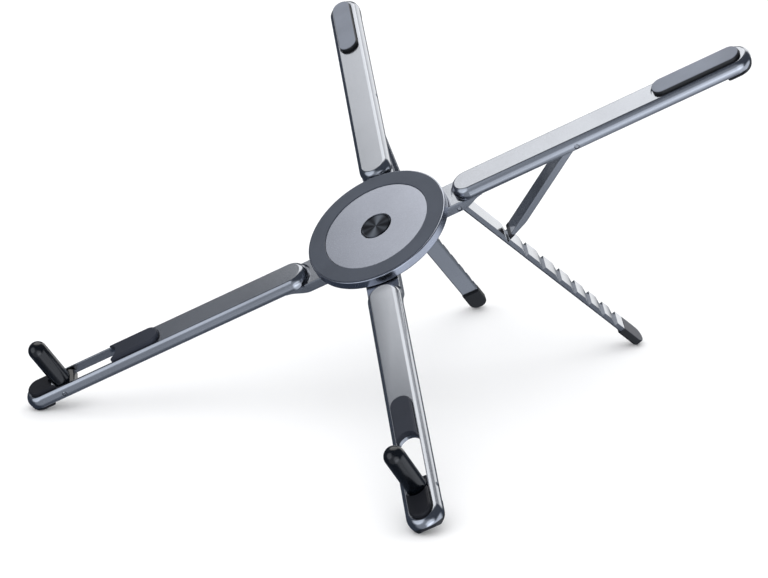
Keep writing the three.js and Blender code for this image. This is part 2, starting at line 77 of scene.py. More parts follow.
# Necks and the plates where the bars cross
NECK_START = 2
NECK_END = 37
NECK_SLOPE_START = 29
NECK_TOP = -3.2
NECK_BOTTOM = -7.0
NECK_STEPS = 12
NECK_INSET = 0.015
NECK_ROUND = 0.22
GROOVE_WIDTH = 1.0  # of the groove in the neck round an arm's inner end
GROOVE_DEPTH = 0.7
GROOVE_LENGTH = 20  # past the neck's end
PLATE = 1.5
LAP_RADIUS = 22.5
HUB_RADIUS = 16
SPINDLE_HOLE = 3.3

# Platform, ring pad and centre cap: radii and heights
PLATFORM_SIDES = 160
DISC_RADIUS = 25.4
DISC_TOP = 0.3
DISC_BOTTOM = -2.9
RING_RECESS = (18.9, 25.0)
RING_RECESS_FLOOR = -0.5
RING_PAD = (19.0, 24.9)
RING_PAD_TOP = 0.6
RING_PAD_BOTTOM = -0.2
CAP_RECESS_RADIUS = 5.6
CAP_RECESS_FLOOR = -1.7
CAP_BOTTOM = -0.25
CAP_RIM = [(5.3, 0.3), (5.22, 0.41), (5.1, 0.45), (4.95, 0.42)]
CAP_FACE_RADIUS = 4.85
CAP_FACE = 0.35
CAP_GROOVE = 0.335
CAP_CENTRE = 0.34
CAP_RINGS = 22

# Pads and their recesses
PAD_RADIUS = 3.5
PAD_TOP = 1.5
PAD_BOTTOM = -0.45
PAD_EDGE = 0.6
PAD_CLEARANCE = 0.12  # round the peg slot
RECESS_RADIUS = 3.65
RECESS_FLOOR = -0.5
RECESS_EDGE = 0.06
LONG_PAD_START = 87.2
REAR_RECESS = (104.8, 129.0)
REAR_PAD = (105.3, 129.0)

# Feet
FOOT_START = 127.2
FOOT_SOLE = -5.7
FOOT_GAP = 0.06  # between a foot and its arm
FOOT_INSET = 0.15
FOOT_BACK = (3.4, 1.35)  # length and height of the rounding at the back
FOOT_EDGE = (1.5, 1.4)  # width and height of the rounding along the sides
FOOT_TOE = 133  # where the sole starts to turn up
FOOT_TOE_RADIUS = 4
FOOT_TOE_TURN = radians(65)
FOOT_TOE_STEPS = 12
FOOT_PLAN_START = 110  # anywhere short of the foot
SEAT_START = 133.2  # where an arm's underside starts to rise over its foot
SEAT_END = 138
SEAT_SLOPE = 0.52

# Stop pegs and the slots that they fold into
SLOT_START = 103.6
SLOT_END = 122.9
SLOT_RADIUS = 3.6
PEG_REACH = 122.3
PEG_PIN_HEIGHT = -2.3
PEG_RADIUS = 3.3
PEG_HEIGHT = 18.3
PEG_LOWER_EDGE = [(0.4, -1.8), (0.1, -1.7), (0, -1.4)]  # (inset, height from the pin)
PEG_BASE = [(-4.6, -1.2), (-4.1, -1.7), (0, -1.7), (0, 2.0), (-3.2, 1.9), (-4.2, 1.5), (-4.6, 0.9)]
PEG_BASE_ROUND = 0.25
PEG_DOME_STEPS = 14
PIN_RADIUS = 0.8
PIN_HALF_LENGTH = 5.65
PIN_ROUND = 0.15
PIN_CLEARANCE = 0.08

# Legs, their boots, and struts
LEG_REACH = 27.9
LEG_HEIGHT = -5.7
LEG_ANGLE = radians(72.7)
LEG_HALF_WIDTH = 3.2
LEG_INNER = 1.35  # from the hinge to the toothed face
LEG_OUTER = 0.85  # and to the face away from it
LEG_LENGTH = 97.15
LEG_ROUND = 0.6
LEG_EDGE = 0.13
LEG_CLEARANCE = 0.25  # on each side, in the slot of its arm
LEG_SLOT = (26.1, 41)
LEG_SLOT_TOP = -4.0
NOTCH_DEPTH = 1.25
NOTCH_RAMP = 3.5
NOTCH_WALLS = [25 + 9.4 * i - 0.2 * i * (i - 1) for i in range(8)]
BOOT_START = 86.3
BOOT_OVERLAP = 0.05
BOOT_HALF_WIDTH = 3.35
BOOT_OUTER = 1.6
BOOT_INNER = 1.45
BOOT_OUTER_ROUND = 0.8
BOOT_INNER_ROUND = 0.3
BOOT_EDGE = 0.12
STRUT_REACH = 72.2
STRUT_HEIGHT = -2.8
STRUT_HALF = 1.25  # of its thickness
STRUT_LENGTH = 44.155
STRUT_ANGLE = radians(143.341)
STRUT_ROUND = 0.22
STRUT_TAPER = 8.5
STRUT_END_TOP = -0.15  # height of the tapered side at the strut's end
STRUT_TIP_LENGTH = 2.3
STRUT_TIP_PROUD = 0.12  # how far the tip stands out past the strut's outer face
STRUT_TIP_WIDER = 0.05  # and past each of its sides
STRUT_TIP_BEVEL = 0.8
STRUT_TIP_ROUND = 0.2

PIVOT_EDGE = 0.15  # rounding of the spindle, nut, washer and spacer

# ---- Frames -------------------------------------------------------------------------------------

joints = {joint["name"]: joint for joint in frame["joints"]}
pivot = Vector(joints["scissor_turn"]["pos_m"])
normal = Vector(joints["scissor_turn"]["axis"]).normalized()
across = Vector((1, 0, 0))
axes = Matrix((across, normal.cross(across), normal)).transposed()
PLATFORM = Matrix.Translation(pivot) @ axes.to_4x4()

BAR_FRAME = {
    "upper": PLATFORM @ Matrix.Rotation(HALF_CROSSING, 4, "Z"),
    "lower": PLATFORM @ Matrix.Rotation(pi - HALF_CROSSING, 4, "Z"),
}
SIDE = {"upper": 1, "lower": -1}
FRONT_BAR = {"left": "upper", "right": "lower"}
REAR_BAR = {"left": "lower", "right": "upper"}


def shifted(x=0, y=0, z=0):
    return Matrix.Translation(Vector((x, y, z)) * MM)


def direction(azimuth, elevation):
    """A unit vector. Azimuth runs anticlockwise from +X, seen from above."""
    a, e = radians(azimuth), radians(elevation)
    return Vector((cos(a) * cos(e), sin(a) * cos(e), sin(e)))


def front_arm_frame(hand):
    bar = FRONT_BAR[hand]
    return BAR_FRAME[bar] @ Matrix.Rotation(pi, 4, "Z") @ shifted(y=SIDE[bar] * ARM_OFFSET)


def rear_arm_frame(hand):
    bar = REAR_BAR[hand]
    return BAR_FRAME[bar] @ shifted(y=SIDE[bar] * ARM_OFFSET)


def leg_frame(hand):
    hinge = rear_arm_frame(hand) @ shifted(LEG_REACH, 0, LEG_HEIGHT)
    return hinge @ Matrix.Rotation(LEG_ANGLE, 4, "Y")


def strut_frame(hand):
    hinge = rear_arm_frame(hand) @ shifted(STRUT_REACH, 0, STRUT_HEIGHT)
    return hinge @ Matrix.Rotation(STRUT_ANGLE, 4, "Y")


# ---- Mesh helpers -------------------------------------------------------------------------------


def new_object(name, verts, faces):
    mesh = bpy.data.meshes.new(name)
    mesh.from_pydata([tuple(v) for v in verts], [], faces)
    bm = bmesh.new()
    bm.from_mesh(mesh)
    bmesh.ops.recalc_face_normals(bm, faces=bm.faces)
    bm.to_mesh(mesh)
    bm.free()
    obj = bpy.data.objects.new(name, mesh)
    bpy.context.scene.collection.objects.link(obj)
    return obj


def half_circle(x, radius, start):
    angles = [start + pi * i / ARC_STEPS for i in range(ARC_STEPS + 1)]
    return [(x + radius * cos(angle), radius * sin(angle)) for angle in angles]


def lozenge(x0, x1, radius, flat_start=False):
    """An outline with a round end about x1 and, unless flat_start is set, about x0."""
    start = [(x0, radius), (x0, -radius)] if flat_start else half_circle(x0, radius, pi / 2)
    return half_circle(x1, radius, -pi / 2) + start


def circle(radius, sides):
    return [(radius * cos(2 * pi * i / sides), radius * sin(2 * pi * i / sides)) for i in range(sides)]


def quarter(steps):
    """Points of a quarter round of radius 1, as their distances from its two tangents."""
    slopes = [pi / 2 * i / steps for i in range(steps + 1)]
    return [(1 - sin(slope), 1 - cos(slope)) for slope in slopes]


def loft(name, levels):
    """A closed solid through (outline, height) levels, lowest first."""
    count = len(levels[0][0])
    verts = [(x, y, height) for outline, height in levels for x, y in outline]
    faces = []
    for level in range(len(levels) - 1):
        base = level * count
        for i in range(count):
            j = (i + 1) % count
            faces.append((base + i, base + j, base + count + j, base + count + i))
    top = (len(levels) - 1) * count
    faces.append(tuple(reversed(range(count))))
    faces.append(tuple(range(top, top + count)))
    return new_object(name, verts, faces)


def plank(name, profile, half_width):
    """A side profile of (reach, height) given a width across the arm."""
    count = len(profile)
    verts = [(x, y, z) for y in (-half_width, half_width) for x, z in profile]
    faces = [(i, (i + 1) % count, count + (i + 1) % count, count + i) for i in range(count)]
    faces += [tuple(reversed(range(count))), tuple(range(count, 2 * count))]
    return new_object(name, verts, faces)


def turned(name, profile, sides=128):
    """A turned solid from a closed profile of (radius, height). Points of radius 0 lie on the axis."""
    rings = []
    verts = []
    for radius, height in profile:
        if radius < 1e-6:
            rings.append([len(verts)] * sides)
            verts.append((0, 0, height))
        else:
            rings.append(list(range(len(verts), len(verts) + sides)))
            verts += [(x, y, height) for x, y in circle(radius, sides)]
    closing = profile[0][0] > 1e-6 or profile[-1][0] > 1e-6
    pairs = list(zip(rings, rings[1:])) + ([(rings[-1], rings[0])] if closing else [])
    faces = []
    for a, b in pairs:
        for i in range(sides):
            j = (i + 1) % sides
            corners = list(dict.fromkeys((a[i], a[j], b[j], b[i])))
            if len(corners) > 2:
                faces.append(tuple(corners))
    return new_object(name, verts, faces)


def drum(name, radius, z0, z1, sides=64):
    outline = circle(radius, sides)
    return loft(name, [(outline, z0), (outline, z1)])


def cross_cylinder(name, radius, x, z, half_length, sides=32, round_end=0.0):
    """A cylinder lying across an arm, its ends rounded over if asked."""
    outline = circle(radius, sides)
    levels = [(outline, -half_length + round_end), (outline, half_length - round_end)]
    if round_end:
        inner = [(a * (1 - round_end / radius), b * (1 - round_end / radius)) for a, b in outline]
        levels = [(inner, -half_length)] + levels + [(inner, half_length)]
    obj = loft(name, levels)
    obj.data.transform(Matrix.Translation((x, 0, z)) @ Matrix.Rotation(pi / 2, 4, "X"))
    return obj


def block(name, x0, x1, half_width, z0, z1):
    return plank(name, [(x0, z0), (x1, z0), (x1, z1), (x0, z1)], half_width)


def combine(body, operation, *tools):
    """The body after a boolean with each tool in turn. The tools are used up."""
    for tool in tools:
        modifier = body.modifiers.new(operation, "BOOLEAN")
        modifier.operation = operation
        modifier.solver = "EXACT"
        modifier.object = tool
    bpy.context.view_layer.update()
    evaluated = body.evaluated_get(bpy.context.evaluated_depsgraph_get())
    mesh = bpy.data.meshes.new_from_object(evaluated)
    body.modifiers.clear()
    body.data = mesh
    for tool in tools:
        bpy.data.objects.remove(tool)
    return merge_slivers(body)


def merge_slivers(obj, size=0.004):
    """Merges points closer than size and removes the faces without area that this leaves."""
    bm = bmesh.new()
    bm.from_mesh(obj.data)
    bmesh.ops.remove_doubles(bm, verts=bm.verts, dist=size)
    bmesh.ops.dissolve_degenerate(bm, edges=bm.edges, dist=size)
    bm.to_mesh(obj.data)
    bm.free()
    return obj


def cut(body, *tools):
    return combine(body, "DIFFERENCE", *tools)


def join(body, *more):
    return combine(body, "UNION", *more)


def bevel_edges(obj, width, segments, chosen):
    """Rounds over the edges whose two end points chosen() accepts."""
    bm = bmesh.new()
    bm.from_mesh(obj.data)
    edges = [e for e in bm.edges if chosen(e.verts[0].co, e.verts[1].co)]
    bmesh.ops.bevel(bm, geom=edges, offset=width, segments=segments, profile=0.5, affect="EDGES")
    bm.to_mesh(obj.data)
    bm.free()
    return obj


def soften(obj, width, angle=35):
    """Rounds over every edge sharper than angle, and keeps the flat faces looking flat."""
    modifier = obj.modifiers.new("soften", "BEVEL")
    modifier.width = width
    modifier.segments = 2
    modifier.limit_method = "ANGLE"
    modifier.angle_limit = radians(angle)
    modifier.harden_normals = True
    return obj


def shade(obj, sharp_angle=32):
    """Smooth shading that keeps flat faces flat and edges over sharp_angle crisp."""
    mesh = obj.data
    mesh.shade_smooth()
    mesh.set_sharp_from_angle(angle=radians(sharp_angle))
    modifier = obj.modifiers.new("flat faces", "WEIGHTED_NORMAL")
    modifier.keep_sharp = True
    modifier.weight = 90
    return obj


def settle(obj, place, body, material, slot, *nodes, own_axes=False):
    """Puts a finished piece, drawn in millimetres, in its place, on its body, in its material.

    With own_axes the piece keeps its own frame, so that its material can turn about its Z axis.
    """
    for modifier in obj.modifiers:
        if modifier.type == "BEVEL":
            modifier.width *= MM
    obj.data.transform(Matrix.Scale(MM, 4))
    if own_axes:
        obj.matrix_world = place
    else:
        obj.data.transform(place)
    obj.data.materials.clear()
    obj.data.materials.append(material)
    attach(obj, body)
    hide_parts(*nodes)
    return obj


# ---- Materials ----------------------------------------------------------------------------------

# Scales of the textures, per metre
METAL_GRAIN = 3200
METAL_POLISH = 2600
METAL_PATCHES = 35
SOFT_PATCHES = 60
SPUN_GRAIN = 900

# How far the textures vary a material's colour, as a fraction, and its roughness
METAL_VARIATION = (0.06, 0.04)
SOFT_VARIATION = (0.12, 0.06)

PAINTED_LIT_FACE = (0.55, 0.9)  # cosine of the slope at which the painted lit face begins, and at which it is full

# Fans of painted sheen on the spun cap, a painted highlight: (direction in degrees about its axis,
# sharpness, strength).
PAINTED_SHEEN = [(111, 10, 1.0), (176, 34, 0.42), (47, 40, 0.25)]


def scaled(colour, factor):
    return tuple(min(1, channel * factor) for channel in colour)


class Nodes:
    """A short way to add nodes to a tree and link them."""

    def __init__(self, tree):
        self.tree = tree

    def add(self, kind, **values):
        node = self.tree.nodes.new(kind)
        for key, value in values.items():
            setattr(node, key, value)
        return node

    def link(self, source, target):
        self.tree.links.new(source, target)

    def dot(self, source, vector):
        node = self.add("ShaderNodeVectorMath", operation="DOT_PRODUCT")
        node.inputs[1].default_value = vector
        self.link(source, node.inputs[0])
        return node.outputs["Value"]

    def math(self, operation, source, *values):
        """Arithmetic on a socket. Each of the values is a number or a socket."""
        node = self.add("ShaderNodeMath", operation=operation)
        self.link(source, node.inputs[0])
        for socket, value in zip(node.inputs[1:], values):
            if isinstance(value, (int, float)):
                socket.default_value = value
            else:
                self.link(value, socket)
        return node.outputs["Value"]


class Surface(Nodes):
    """The node tree of a new material."""

    def __init__(self, name):
        self.material = bpy.data.materials.new(name)
        self.material.use_nodes = True
        super().__init__(self.material.node_tree)
        self.shader = self.tree.nodes["Principled BSDF"]
        self.coordinates = self.add("ShaderNodeTexCoord")

    def noise(self, scale, detail=3.0, roughness=0.5):
        node = self.add("ShaderNodeTexNoise")
        node.inputs["Scale"].default_value = scale
        node.inputs["Detail"].default_value = detail
        node.inputs["Roughness"].default_value = roughness
        self.link(self.coordinates.outputs["Object"], node.inputs["Vector"])
        return node.outputs["Fac"]

    def spread(self, source, low, high, start=0.3, end=0.7):
        """Maps start to end onto low to high. A noise keeps mostly within 0.3 to 0.7."""
        node = self.add("ShaderNodeMapRange")
        node.inputs["From Min"].default_value = start
        node.inputs["From Max"].default_value = end
        node.inputs["To Min"].default_value = low
        node.inputs["To Max"].default_value = high
        self.link(source, node.inputs["Value"])
        return node.outputs["Result"]

    def blend(self, factor, first, second):
        """A colour between first and second, each of them a colour or a socket."""
        node = self.add("ShaderNodeMix", data_type="RGBA")
        self.link(factor, node.inputs["Factor"])
        for key, colour in (("A", first), ("B", second)):
            if isinstance(colour, tuple):
                node.inputs[key].default_value = (*colour, 1)
            else:
                self.link(colour, node.inputs[key])
        return node.outputs["Result"]

    def patchy(self, scale, colour, variation):
        """The colour, a little darker in some places and lighter in others."""
        patches = self.spread(self.noise(scale, 4), 0, 1)
        return self.blend(patches, scaled(colour, 1 - variation), scaled(colour, 1 + variation))

    def paint(self, colour):
        self.link(colour, self.shader.inputs["Base Color"])

    def polish(self, texture, roughness, variation):
        spread = self.spread(texture, roughness - variation, roughness + variation)
        self.link(spread, self.shader.inputs["Roughness"])

    def bump(self, source, height):
        node = self.add("ShaderNodeBump")
        node.inputs["Strength"].default_value = 1.0
        node.inputs["Distance"].default_value = height
        self.link(source, node.inputs["Height"])
        self.link(node.outputs["Normal"], self.shader.inputs["Normal"])


def metal(name, colour, roughness, grain_height):
    """Anodised metal with a fine blasted grain and slight unevenness of shade and polish."""
    nodes = Surface(name)
    nodes.shader.inputs["Metallic"].default_value = 1.0
    of_colour, of_roughness = METAL_VARIATION
    nodes.paint(nodes.patchy(METAL_PATCHES, colour, of_colour))
    nodes.polish(nodes.noise(METAL_POLISH, 2), roughness, of_roughness)
    nodes.bump(nodes.noise(METAL_GRAIN, 2, 0.6), grain_height)
    return nodes.material


def spun(name, dark, light):
    """Dark turned metal with fans of sheen painted into its colour, a painted highlight, that run through
    its centre.
    """
    nodes = Surface(name)
    nodes.shader.inputs["Metallic"].default_value = 1.0
    nodes.shader.inputs["Roughness"].default_value = 0.3
    flat = nodes.add("ShaderNodeVectorMath", operation="MULTIPLY")
    flat.inputs[1].default_value = (1, 1, 0)
    nodes.link(nodes.coordinates.outputs["Object"], flat.inputs[0])
    outward = nodes.add("ShaderNodeVectorMath", operation="NORMALIZE")
    nodes.link(flat.outputs["Vector"], outward.inputs[0])
    # The blend towards the light colour: a fine grain, plus fans that are a painted highlight.
    fans = nodes.spread(nodes.noise(SPUN_GRAIN, 2), 0.0, 0.03)
    for angle, sharpness, strength in PAINTED_SHEEN:
        along = nodes.dot(outward.outputs["Vector"], direction(angle, 0))
        lobe = nodes.math("POWER", nodes.math("ABSOLUTE", along), sharpness)
        fans = nodes.math("MULTIPLY_ADD", lobe, strength, fans)
    nodes.paint(nodes.blend(fans, dark, light))
    return nodes.material


def soft(name, colour, roughness, grain_scale, grain_height, specular, side=None, facing=None):
    """Rubber, silicone or plastic: an even colour with a fine texture.

    With side and facing, only the face that looks towards facing has the colour, painted as lit. The
    rounded edge and the sides keep the darker side colour, as painted shade.
    """
    nodes = Surface(name)
    nodes.shader.inputs["Specular IOR Level"].default_value = specular
    of_colour, of_roughness = SOFT_VARIATION
    face = nodes.patchy(SOFT_PATCHES, colour, of_colour)
    # Painted light and shade: the face towards facing gets the lighter colour, the edge and sides the
    # darker one.
    if side:
        upright = nodes.dot(nodes.coordinates.outputs["Normal"], facing)
        face = nodes.blend(nodes.spread(upright, 0, 1, *PAINTED_LIT_FACE), side, face)
    nodes.paint(face)
    fine = nodes.noise(grain_scale, 3, 0.6)
    nodes.polish(fine, roughness, of_roughness)
    nodes.bump(fine, grain_height)
    return nodes.material


def boot_rubber(hand):
    facing = leg_frame(hand).col[2].xyz
    # Painted light and shade: the boot's face dark slate, its rounded edges and sides painted near black.
    face, side = (0.045, 0.050, 0.066), (0.003, 0.004, 0.006)
    return soft(f"boot rubber {hand}", face, 0.5, 2800, 0.00001, 0.45, side, facing)


# Metals: colour, roughness, height of the grain in metres
ALUMINIUM = metal("grey aluminium", (0.335, 0.35, 0.38), 0.19, 0.000004)
DISC_METAL = metal("disc aluminium", (0.35, 0.37, 0.425), 0.24, 0.000004)
STEEL = metal("plated steel", (0.42, 0.43, 0.46), 0.25, 0.000003)
# The cap's dark colour, and the light one that its fans of painted highlight reach.
CAP_METAL = spun("spun aluminium", (0.001, 0.0015, 0.004), (0.115, 0.13, 0.155))

# Soft materials: colour, roughness, scale and height of the texture, and strength of the gloss. The ones
# with painted light and shade have the colour of their shaded sides and the direction of their lit face.
SILICONE = soft("grey silicone", (0.050, 0.060, 0.082), 0.5, 2800, 0.00001, 0.35)
PAD_SILICONE = soft("dark silicone", (0.022, 0.026, 0.038), 0.5, 2800, 0.00001, 0.2)
TIP_SILICONE = soft("darker silicone", (0.009, 0.010, 0.014), 0.5, 2800, 0.00001, 0.2)
# Painted light and shade: the face pale, its rounded edge and sides painted near black.
PALE_SILICONE = soft(
    "pale silicone", (0.18, 0.20, 0.245), 0.5, 2800, 0.00001, 0.45, (0.004, 0.005, 0.007), normal
)
PLASTIC = soft("black plastic", (0.002, 0.003, 0.005), 0.2, 1800, 0.000001, 0.5)
RUBBER = soft("black rubber", (0.005, 0.006, 0.009), 0.38, 2200, 0.00001, 0.5)
NYLON = soft("white nylon", (0.68, 0.66, 0.60), 0.5, 1500, 0.00001, 0.4)
BOOT_RUBBER = {hand: boot_rubber(hand) for hand in ("left", "right")}

# ---- Bars ---------------------------------------------------------------------------------------


def arm_levels(x0, x1):
    """An arm's outlines from its underside up to its flat top."""
    levels = []
    for inwards, upwards in quarter(4):
        outline = lozenge(x0, x1, HALF_WIDTH - LOWER_ROUND * inwards)
        levels.append((outline, -DEPTH + LOWER_ROUND * upwards))
    for i in range(EDGE_STEPS + 1):
        slope = pi / 2 + (EDGE_START - pi / 2) * i / EDGE_STEPS
        outline = lozenge(x0, x1, HALF_WIDTH - EDGE_RADIUS * (1 - sin(slope)))
        levels.append((outline, EDGE_RADIUS * (cos(slope) - cos(EDGE_START))))
    return levels


def neck_profile():
    """A neck seen from the side. Its underside rises smoothly to the arm's."""
    length, rise = NECK_END - NECK_SLOPE_START, -DEPTH + GAP - NECK_BOTTOM
    slope = []
    for i in range(NECK_STEPS + 1):
        t = i / NECK_STEPS
        smooth = t * t * (3 - 2 * t)
        slope.append((NECK_SLOPE_START + length * t, NECK_BOTTOM + rise * smooth))
    return [(NECK_START, NECK_TOP), (NECK_START, NECK_BOTTOM)] + slope + [(NECK_END, NECK_TOP)]


def opening(name, x0, x1, radius, floor, edge=0.0):
    """A cutter with round ends. With edge, it flares out where it passes the arm's top face."""
    straight = lozenge(x0, x1, radius)
    levels = [(straight, floor)]
    if edge:
        flared = lozenge(x0, x1, radius + 2 * edge)
        levels += [(straight, -edge), (flared, edge), (flared, CUT_REACH)]
    else:
        levels.append((straight, CUT_REACH))
    return loft(name, levels)


def channel(name, end, radius, roof):
    outline = lozenge(CHANNEL_START + radius, end - radius, radius)
    return loft(name, [(outline, -2 * DEPTH), (outline, roof)])


def foot_seat(name, shift):
    """A cutter that makes an arm's underside rise towards the tip, over the foot."""
    start, end = SEAT_START + shift, SEAT_END + shift
    profile = [(start, -DEPTH), (start, -2 * DEPTH), (end, -2 * DEPTH)]
    profile.append((end, -DEPTH + (end - start) * SEAT_SLOPE))
    return plank(name, profile, 2 * HALF_WIDTH)


def pin_hole(name, x, z):
    return cross_cylinder(name, PIN_RADIUS + PIN_CLEARANCE, x, z, 2 * HALF_WIDTH)


def front_cutters():
    return [
        channel("channel", *FRONT_CHANNEL),
        opening("peg slot", SLOT_START, SLOT_END, SLOT_RADIUS, -2 * DEPTH),
        opening("pad recess", LONG_PAD_START, FRONT_END, RECESS_RADIUS, RECESS_FLOOR, RECESS_EDGE),
        pin_hole("peg hole", PEG_REACH, PEG_PIN_HEIGHT),
        foot_seat("foot seat", 0),
    ]


def rear_cutters():
    return [
        channel("channel", *REAR_CHANNEL),
        block("leg slot", *LEG_SLOT, LEG_HALF_WIDTH + LEG_CLEARANCE, 2 * NECK_BOTTOM, LEG_SLOT_TOP),
        opening("pad recess", *REAR_RECESS, RECESS_RADIUS, RECESS_FLOOR, RECESS_EDGE),
        pin_hole("leg hole", LEG_REACH, LEG_HEIGHT),
        pin_hole("strut hole", STRUT_REACH, STRUT_HEIGHT),
        foot_seat("foot seat", REAR_END - FRONT_END),
    ]


def arm(name, end, cutters):
    body = loft(name, arm_levels(INNER_END, end))
    neck = plank(name + " neck", neck_profile(), HALF_WIDTH - NECK_INSET)
    bevel_edges(neck, NECK_ROUND, 2, lambda a, b: abs(a.y - b.y) < NEAR and abs(a.x - b.x) > NEAR)
    groove_radius, groove_end = HALF_WIDTH + GROOVE_WIDTH, INNER_END + GROOVE_LENGTH
    cut(neck, opening("groove", INNER_END, groove_end, groove_radius, NECK_TOP - GROOVE_DEPTH))
    join(body, neck)
    return cut(body, *cutters)


def bar(name, side):
    """A front and a rear arm, joined by a plate that laps over or under the other bar's plate."""
    front = arm(name + " front", FRONT_END, front_cutters())
    front.data.transform(Matrix.Rotation(pi, 4, "Z") @ Matrix.Translation((0, side * ARM_OFFSET, 0)))
    rear = arm(name, REAR_END, rear_cutters())
    rear.data.transform(Matrix.Translation((0, side * ARM_OFFSET, 0)))
    join(rear, front)
    top = NECK_TOP if side > 0 else NECK_BOTTOM + PLATE
    relief = (NECK_BOTTOM - 1, NECK_TOP - PLATE) if side > 0 else (top, NECK_TOP + 1)
    cut(rear, drum("lap", LAP_RADIUS, *relief, 96))
    join(rear, drum("plate", HUB_RADIUS, top - PLATE + GAP / 2, top - GAP / 2, 96))
    return cut(rear, drum("hole", SPINDLE_HOLE, 2 * NECK_BOTTOM, 0, 48))


for which, body in (("upper", "upper_frame"), ("lower", "lower_frame")):
    piece = shade(bar(which + "_bar_shell", SIDE[which]))
    settle(piece, BAR_FRAME[which], body, ALUMINIUM, "grey_aluminium", which + "_bar")

# ---- Platform -----------------------------------------------------------------------------------


def rounded(points, steps=5):
    """A profile whose corners given as (x, y, radius) are rounded over."""
    out = []
    count = len(points)
    for i, (x, y, radius) in enumerate(points):
        if not radius:
            out.append((x, y))
            continue
        here = Vector((x, y))
        before = (Vector(points[i - 1][:2]) - here).normalized() * radius
        after = (Vector(points[(i + 1) % count][:2]) - here).normalized() * radius
        for k in range(steps + 1):
            t = k / steps
            point = here + before * (1 - t) ** 2 + after * t**2
            out.append((point.x, point.y))
    return out


def platform_disc():
    inner, outer = RING_RECESS
    profile = [
        (SPINDLE_HOLE, DISC_BOTTOM, 0.2),
        (DISC_RADIUS, DISC_BOTTOM, 0.5),
        (DISC_RADIUS, DISC_TOP, 0.38),
        (outer, DISC_TOP, 0.0),
        (outer, RING_RECESS_FLOOR, 0.0),
        (inner, RING_RECESS_FLOOR, 0.0),
        (inner, DISC_TOP, 0.1),
        (CAP_RECESS_RADIUS, DISC_TOP, 0.1),
        (CAP_RECESS_RADIUS, CAP_RECESS_FLOOR, 0.0),
        (SPINDLE_HOLE, CAP_RECESS_FLOOR, 0.0),
    ]
    return turned("platform_disc_shell", rounded(profile), PLATFORM_SIDES)


def ring_pad():
    inner, outer = RING_PAD
    profile = [
        (inner, RING_PAD_BOTTOM, 0.0),
        (outer, RING_PAD_BOTTOM, 0.0),
        (outer, RING_PAD_TOP, 0.3),
        (inner, RING_PAD_TOP, 0.25),
    ]
    return turned("platform_ring_pad_shell", rounded(profile), PLATFORM_SIDES)


def cap():
    """A cap with fine turned rings on its dished face."""
    profile = [(0.0, CAP_BOTTOM), (CAP_RIM[0][0], CAP_BOTTOM)] + CAP_RIM
    for i in range(CAP_RINGS):
        radius = CAP_FACE_RADIUS * (1 - i / CAP_RINGS)
        profile.append((radius, CAP_FACE))
        profile.append((radius - CAP_FACE_RADIUS / CAP_RINGS / 2, CAP_GROOVE))
    profile.append((0.0, CAP_CENTRE))
    return turned("pivot_cap_shell", profile)


for piece, sharp_angle, material, slot, node in (
    (platform_disc(), 40, DISC_METAL, "disc_aluminium", "platform_disc"),
    (ring_pad(), 60, SILICONE, "grey_silicone", "platform_ring_pad"),
    (cap(), 60, CAP_METAL, "spun_aluminium", "pivot_cap"),
):
    settle(shade(piece, sharp_angle), PLATFORM, "upper_frame", material, slot, node, own_axes=True)

# ---- Pads, feet and pegs ------------------------------------------------------------------------


def pad(name, x0, x1, beside_slot=False):
    """A soft pad with rounded upper edges. Beside the peg slot its end is hollowed to follow it."""
    levels = [(lozenge(x0, x1, PAD_RADIUS), PAD_BOTTOM)]
    for downwards, inwards in quarter(6):
        levels.append((lozenge(x0, x1, PAD_RADIUS - PAD_EDGE * inwards), PAD_TOP - PAD_EDGE * downwards))
    body = loft(name, levels)
    if beside_slot:
        cut(body, opening("hollow", SLOT_START, SLOT_END, SLOT_RADIUS + PAD_CLEARANCE, -CUT_REACH))
    return shade(body, 50)


def foot_profile():
    """A foot seen from the side: rounded at the back, flat, then turning up under the tip."""
    top = -DEPTH - FOOT_GAP
    profile = [(FOOT_START, top)]
    for upwards, forwards in quarter(6):
        profile.append((FOOT_START + FOOT_BACK[0] * forwards, FOOT_SOLE + FOOT_BACK[1] * upwards))
    for i in range(FOOT_TOE_STEPS + 1):
        turn = FOOT_TOE_TURN * i / FOOT_TOE_STEPS
        height = FOOT_SOLE + FOOT_TOE_RADIUS * (1 - cos(turn))
        profile.append((FOOT_TOE + FOOT_TOE_RADIUS * sin(turn), height))
    end = profile[-1][0]
    return profile + [(end, top + (end - SEAT_START) * SEAT_SLOPE), (SEAT_START, top)]


def foot(name):
    """A rubber foot: its side profile, within a plan that follows the arm's round end."""
    radius = HALF_WIDTH - FOOT_INSET
    levels = []
    for inwards, upwards in quarter(6):
        outline = lozenge(FOOT_PLAN_START, FRONT_END, radius - FOOT_EDGE[0] * inwards)
        levels.append((outline, FOOT_SOLE - GAP / 2 + FOOT_EDGE[1] * upwards))
    levels.append((lozenge(FOOT_PLAN_START, FRONT_END, radius), 0))
    body = plank(name, foot_profile(), HALF_WIDTH)
    return shade(combine(body, "INTERSECT", loft("plan", levels)), 40)


def peg(name):
    """A round peg with a domed top, on a base that turns between the walls of the slot."""
    length = PEG_HEIGHT - PEG_PIN_HEIGHT
    profile = [(0.0, PEG_LOWER_EDGE[0][1])]
    profile += [(PEG_RADIUS - inset, height) for inset, height in PEG_LOWER_EDGE]
    for i in range(PEG_DOME_STEPS):
        slope = pi / 2 * i / PEG_DOME_STEPS
        profile.append((PEG_RADIUS * cos(slope), length - PEG_RADIUS + PEG_RADIUS * sin(slope)))
    profile.append((0.0, length))
    body = turned(name, profile, 64)
    base = plank(name + " base", PEG_BASE, PEG_RADIUS - GAP)
    bevel_edges(base, PEG_BASE_ROUND, 2, lambda a, b: a.x < -0.1 and b.x < -0.1 and abs(a.y - b.y) < NEAR)
    join(body, base)
    cut(body, pin_hole("hole", 0, 0))
    return shade(body, 35)


def pin(name):
    return shade(cross_cylinder(name, PIN_RADIUS, 0, 0, PIN_HALF_LENGTH, round_end=PIN_ROUND), 40)


